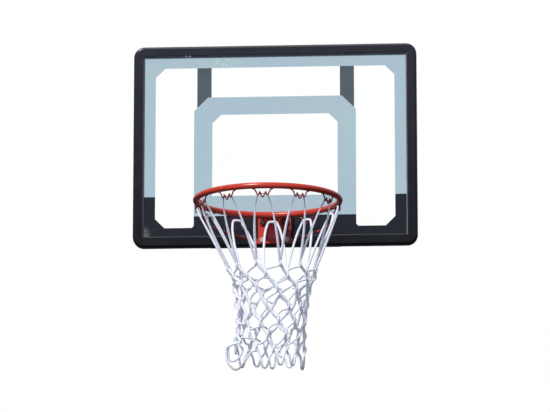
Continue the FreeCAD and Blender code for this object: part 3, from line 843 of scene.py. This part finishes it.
# %% Sizes of the net's rows
net_length = ring_centre.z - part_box("net_lower_mesh")[0].z
row_level_share = (0.411, 0.472, 0.544, 0.637, 0.728, 0.808, 0.884)
row_radii = (0.122, 0.111, 0.103, 0.097, 0.094, 0.093, 0.090)
row_drifts = (0.012, 0.016, 0.013, 0.013, 0.012, 0.010, 0.007)
row_turns = (-2, -6, -5, -4, -3, -3, -9)
last_row = len(row_radii) - 1
half_pitch = 180 / hook_count
rear_turn = 9
front_sag = 0.011
left_hitch = 0.023
turn_chance = 3.5
place_chance = 0.005
print("net length", round(net_length, 3))


# %% How much each row gives way
top_loose_share = 0.5
loose_gain_share = 0.9
top_sag_share = 0.4
sag_gain_share = 0.2
top_turn_share = 0.3


def loose_at(row):
    """A row's share of the two chances above, which move its knots: the lower, the more."""
    return top_loose_share + loose_gain_share * row / last_row


def sag_at(row):
    """A row's share of the sag in front, which is full from the fourth row down."""
    return min(1.0, top_sag_share + sag_gain_share * row)


def rear_turn_at(row):
    """A row's share of the turn at the back, which the top loops hold back in the first row."""
    return min(1.0, top_turn_share + row)


# %% Place the knots
net_chance = random.Random(38813)
knots = []
for row, share in enumerate(row_level_share):
    knot_row = []
    for step in range(hook_count):
        heading = 2 * half_pitch * step + (half_pitch if row % 2 == 0 else 0)
        turn = math.radians(heading)
        rise = front_sag * sag_at(row) * (1 - math.cos(turn))
        hitch = left_hitch * (row / last_row) ** 2 * max(0.0, -math.sin(turn)) ** 2
        heading += row_turns[row] + rear_turn * rear_turn_at(row) * (1 - math.cos(turn)) / 2
        heading += net_chance.uniform(-turn_chance, turn_chance) * loose_at(row)
        stray = net_chance.uniform(-place_chance, place_chance) * loose_at(row)
        level = -net_length * share + rise + hitch + stray
        radius = row_radii[row] + net_chance.uniform(-place_chance, place_chance) * loose_at(row)
        knot_row.append(round_ring(heading, radius, level) + Vector((row_drifts[row], 0, 0)))
    knots.append(knot_row)
print("knots:", sum(len(row) for row in knots))


# %% Find a knot's neighbours
def below_right(row, step):
    return knots[row + 1][(step + 1) % hook_count if row % 2 == 0 else step]


def straight_way(row, step):
    """The direction of the cord that runs straight through a knot."""
    if row < last_row:
        return (below_right(row, step) - knots[row][step]).normalized()
    return (knots[row][step] - knots[row - 1][step]).normalized()


# %% Twist the second cord round a knot
cord_radius = 0.0037
twist_radius = cord_radius * 1.35
twist_points = 7
row_twists = (0.005, 0.008, 0.011, 0.011, 0.011, 0.011, 0.009)


def twisted(row, step):
    """The cord round a knot: it comes from the upper right, passes outside, and leaves at the lower left."""
    spot = knots[row][step]
    way = straight_way(row, step)
    outward = Vector((spot.x - ring_centre.x, spot.y - ring_centre.y, 0)).normalized()
    beside = outward.cross(way)
    beside = (beside if beside.z > 0 else -beside).normalized()
    over = way.cross(beside)
    line = []
    for point in range(twist_points):
        share = point / (twist_points - 1)
        around = beside * math.cos(math.pi * share) + over * math.sin(math.pi * share)
        line.append(spot + way * row_twists[row] * (2 * share - 1) + around * twist_radius)
    return line


# %% Run the cords from knot to knot
straight_radius = cord_radius * 1.08
drooping_radius = cord_radius * 0.8
leave_share = 0.3
arrive_share = 0.2
arch_share = 0.45
drop_share = 0.25
droop_share = 0.25


def straight_cord(row, step, bow):
    """The cord to the lower right, which keeps its direction through both knots."""
    spot = knots[row][step]
    right = below_right(row, step)
    length = (right - spot).length
    leave = straight_way(row, step) * leave_share * length
    arrive = straight_way(row + 1, knots[row + 1].index(right)) * arrive_share * length
    return rounded([spot, spot + leave, (spot + right) / 2 + bow, right - arrive, right])


def drooping_cord(row, step, bow):
    """The cord that twists round a knot and goes on to the lower left, drooping in front."""
    left = step if row % 2 == 0 else step - 1
    twist = twisted(row, step)
    end = twisted(row + 1, left % hook_count)[0]
    gap = end - twist[-1]
    droop = droop_share if knots[row][step].y < ring_centre.y else 0.0
    arch = twist[-1] + Vector((gap.x, gap.y, gap.z * (1 - droop))) * arch_share - bow
    drop = end - Vector((gap.x, gap.y, gap.z * (1 + droop))) * drop_share - bow
    return rounded(twist + [arch, drop, end], 2)


# %% Knot the mesh
top_slack = 0.002
slack_gain = 0.0009
net_mesh = Sweeps()
for row in range(last_row):
    slack = top_slack + slack_gain * row
    for step in range(hook_count):
        bow = Vector([net_chance.uniform(-slack, slack) for _ in range(3)])
        net_mesh.add(straight_cord(row, step, bow), straight_radius)
        net_mesh.add(drooping_cord(row, step, bow), drooping_radius)
print("cord points in the mesh:", len(net_mesh.points))

# %% [markdown]
# ## Free loops
# At the bottom each cord hangs in a free loop to the next knot, with legs that draw together. Two loops
# on the left were flung out and have dried stiff: one stands out sideways, and the next one follows its
# edge before it swings back. Each of these is a few points, measured from the ring's centre. The loop
# behind them was drawn up short.

# %% Shapes of the flung loops
tail_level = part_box("net_lower_mesh")[0].z
sideways_loop = ((-0.090, -0.035, -0.407), (-0.102, -0.044, -0.4135), (-0.1055, -0.046, -0.4185),
                 (-0.105, -0.046, -0.440), (-0.103, -0.046, -0.452), (-0.095, -0.047, -0.4585),
                 (-0.081, -0.048, -0.4545), (-0.068, -0.050, -0.438), (-0.064, -0.052, -0.425))
following_loop = ((-0.085, -0.052, -0.409), (-0.106, -0.052, -0.4175), (-0.1105, -0.052, -0.421),
                  (-0.110, -0.052, -0.440), (-0.108, -0.053, -0.458), (-0.101, -0.055, -0.470),
                  (-0.0885, -0.058, -0.4825), (-0.078, -0.061, -0.4825), (-0.067, -0.066, -0.474),
                  (-0.053, -0.072, -0.455), (-0.037, -0.080, -0.434))
flung_loops = {9: sideways_loop, 10: following_loop}
print("flung loops:", len(flung_loops), "lowest level", round(tail_level, 3))

# %% Shape of a hanging loop
short_loop = 8
drawn_up = 0.045
bottom_chance = 0.012
reach_chance = 0.010
knot_tail = 0.010
leg_shares = (0.26, 0.74)
bottom_shares = (0.36, 0.64)
free_radius = cord_radius * 0.85
net_axis = ring_centre + Vector((row_drifts[-1], 0, 0))


def hanging_loop(step, spot, mate):
    """The usual loop: down from one knot, round a narrow bottom, and up to the next."""
    middle = (spot + mate) / 2
    out = Vector((middle.x - net_axis.x, middle.y - net_axis.y, 0)).normalized()
    bottom = tail_level + front_sag * (1 + out.y) + net_chance.uniform(0.0, bottom_chance)
    bottom += drawn_up if step == short_loop else 0.0
    half_way = (middle.z + bottom) / 2
    reach = net_chance.uniform(0.0, reach_chance)
    line = [spot + straight_way(last_row, step) * knot_tail]
    shares = (leg_shares[0], *bottom_shares, leg_shares[1])
    for share, level in zip(shares, (half_way, bottom, bottom, half_way)):
        point = spot.lerp(mate, share) + out * reach
        line.append(Vector((point.x, point.y, level)))
    return line


# %% Hang the free loops
for step, spot in enumerate(knots[last_row]):
    after = (step + 1) % hook_count
    mate = knots[last_row][after]
    if step in flung_loops:
        line = [ring_centre + Vector(offset) for offset in flung_loops[step]]
    else:
        line = hanging_loop(step, spot, mate)
    net_mesh.add(rounded([spot] + line + twisted(last_row, after)[::-1], 2), free_radius)
print("cord points with the free loops:", len(net_mesh.points))

# %% [markdown]
# ## White cord
# Braided polyester. A little emission in the yarn's own colour is painted light: the whole cord glows,
# which lifts its shaded sides. Some light scatters inside the cord. The braid is two crossing waves,
# laid along each cord by the map that its sweep carries, and its grooves are painted darker as painted
# shade. The bottoms of the free loops are darker, partly dirt and partly painted shade, and the thin
# cord at the front hooks is darker as a painted shadow of the ring.

# %% Braid of the cord
strands_round = 4.0
crossings_per_metre = 240.0


def braid_of(tree):
    """The height of a braid: two waves that wind round the cord in opposite ways."""
    cord_map = parts_of(tree, put(tree, "ShaderNodeUVMap", uv_map="cord_map").outputs[0])
    turns = times(tree, cord_map["X"], strands_round)
    climb = times(tree, cord_map["Y"], crossings_per_metre)
    waves = [math_of(tree, "SINE", times(tree, math_of(tree, way, turns, climb), 2 * math.pi))
             for way in ("ADD", "SUBTRACT")]
    return times(tree, *waves)


# %% White cord
dark_bottom_height = 0.035
hook_levels = (-0.075, -0.030)
front_depths = (-0.05, -0.12)
clean_yarn = (0.59, 0.62, 0.69, 1)
grimy_yarn = (0.53, 0.56, 0.63, 1)
shaded_groove_yarn = (0.49, 0.52, 0.60, 1)
soiled_and_shaded_yarn = (0.30, 0.30, 0.29, 1)
ring_shadow_yarn = (0.21, 0.22, 0.26, 1)
white_cord, tree, shader = new_finish("white_cord")
braid = braid_of(tree)
grime = effect(tree, weather, Size=22.0, Cover=0.8)
spread = parts_of(tree, place_in(tree))
# Darker loop bottoms: partly dirt, partly painted shade.
soiled_and_shaded = times(tree, ramp_of(tree, spread["Z"], tail_level + dark_bottom_height, tail_level), 0.7)
in_front = ramp_of(tree, spread["Y"], *(ring_centre.y + depth for depth in front_depths))
# Painted shadow of the ring on the thin cord below the front hooks.
painted_ring_shadow = times(tree, level_ramp(tree, spread["Z"], *hook_levels), in_front)
yarn = mix_colour(tree, grime, clean_yarn, grimy_yarn)
# Painted shade in the braid's grooves.
yarn = mix_colour(tree, ramp_of(tree, braid, 0.1, -0.9), yarn, shaded_groove_yarn)
yarn = mix_colour(tree, soiled_and_shaded, yarn, soiled_and_shaded_yarn)
yarn = mix_colour(tree, painted_ring_shadow, yarn, ring_shadow_yarn)
# Painted light: the emission makes the cord glow, which lifts its shaded sides.
feed(tree, shader, Base_Color=yarn, Roughness=0.75, Sheen_Weight=0.1, Subsurface_Weight=1.0,
     Subsurface_Radius=(1.0, 1.0, 1.0), Subsurface_Scale=0.005, Emission_Color=yarn, Emission_Strength=0.24,
     Normal=bump_of(tree, braid, 0.0005, 0.4))
knotted_mesh = net_mesh.make("knotted_mesh", white_cord)

# %% [markdown]
# ## Loops over the hooks
# Each top loop lies in the two notches of its hook and runs from there straight to the first knots on
# both sides. Where it bends over the wire it is drawn thin, most of all in front, where the ball
# strikes. A place on a hook is given along the ring, away from its axis and upward.

# %% Places on a hook
over_place = (0.008, -0.006, -0.0215)
notch_place = (0.0125, -0.003, -0.0235)
shoulder_place = (0.0165, -0.006, -0.034)
leg_bulge = 0.006


def along_ring(step, length):
    return round_ring(2 * half_pitch * step + 90, length) - ring_centre


def hook_side(step, side, place):
    """A place on one side of a hook: -1 is its left, and 1 is its right."""
    across, out, level = place
    return round_ring(2 * half_pitch * step, ring_radius + out, level) + along_ring(step, side * across)


# %% Half a loop
leg_radius = 0.0034
usual_thin_share = 0.72
front_thin_share = 0.28
thin_end_share = 7 / 30
full_start_share = 19 / 60
bulge_shares = ((0.10, 0.2), (0.50, 1.0), (0.85, 0.8))


def leg(step, side, knot_end):
    """Half a loop, from a first-row knot, bulging on its way, up to the hook's notch on one side."""
    shoulder = hook_side(step, side, shoulder_place)
    bulge = along_ring(step, side * leg_bulge)
    curve = [knot_end.lerp(shoulder, way_up) + bulge * swell for way_up, swell in bulge_shares]
    return [knot_end, *curve, shoulder, hook_side(step, side, notch_place)]


def leg_size(share, thin):
    """A loop's radius: drawn thin in its middle, over the hook, and full lower down."""
    from_middle = abs(share - 0.5)
    full = (from_middle - thin_end_share) / (full_start_share - thin_end_share)
    return leg_radius * (thin + (1 - thin) * min(1.0, max(0.0, full)))


# %% Hang the loops over the hooks
loops = Sweeps()
for step in range(hook_count):
    thin = usual_thin_share - front_thin_share * math.cos(math.radians(2 * half_pitch * step))
    left = leg(step, -1, twisted(0, step - 1)[0])
    right = leg(step, 1, knots[0][step])
    over = [hook_side(step, side, over_place) for side in (-1, 1)]
    loops.add(rounded(left + over + right[::-1]), lambda share: leg_size(share, thin))
hook_loops = loops.make("hook_loops", white_cord)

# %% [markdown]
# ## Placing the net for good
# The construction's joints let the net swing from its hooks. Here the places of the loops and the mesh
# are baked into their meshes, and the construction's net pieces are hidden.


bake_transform(hook_loops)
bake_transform(knotted_mesh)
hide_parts("net_top_loops")
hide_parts("net_upper_mesh", "net_lower_mesh")
